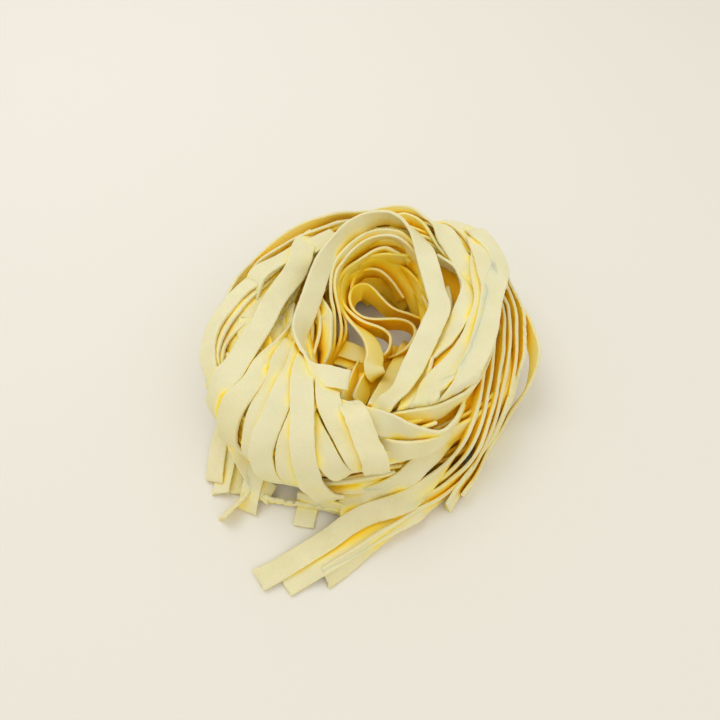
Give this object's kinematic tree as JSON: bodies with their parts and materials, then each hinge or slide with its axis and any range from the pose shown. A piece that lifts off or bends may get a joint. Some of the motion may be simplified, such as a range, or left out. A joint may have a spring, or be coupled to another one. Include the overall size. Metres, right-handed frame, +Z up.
{
  "type": "ribbon pasta nest",
  "caption": "Nest of wide egg pasta ribbons wound in a loose ring round an open hollow, with a half-twisted loop over the top and cut ends trailing in front.",
  "frame": {"origin": "middle of the bounding box in plan, on the surface the nest rests on", "axes": "+Z up; the trailing ends point to -Y and the twisted loop rises towards +Y; +X to the right as seen from the trailing ends"},
  "size_m": [0.1418, 0.1686, 0.0458],
  "materials": {
    "pasta": "pale cream-yellow egg dough, dull and floury"
  },
  "bodies": {
    "root": {"pasta_nest": "pasta"}
  },
  "joints": []
}
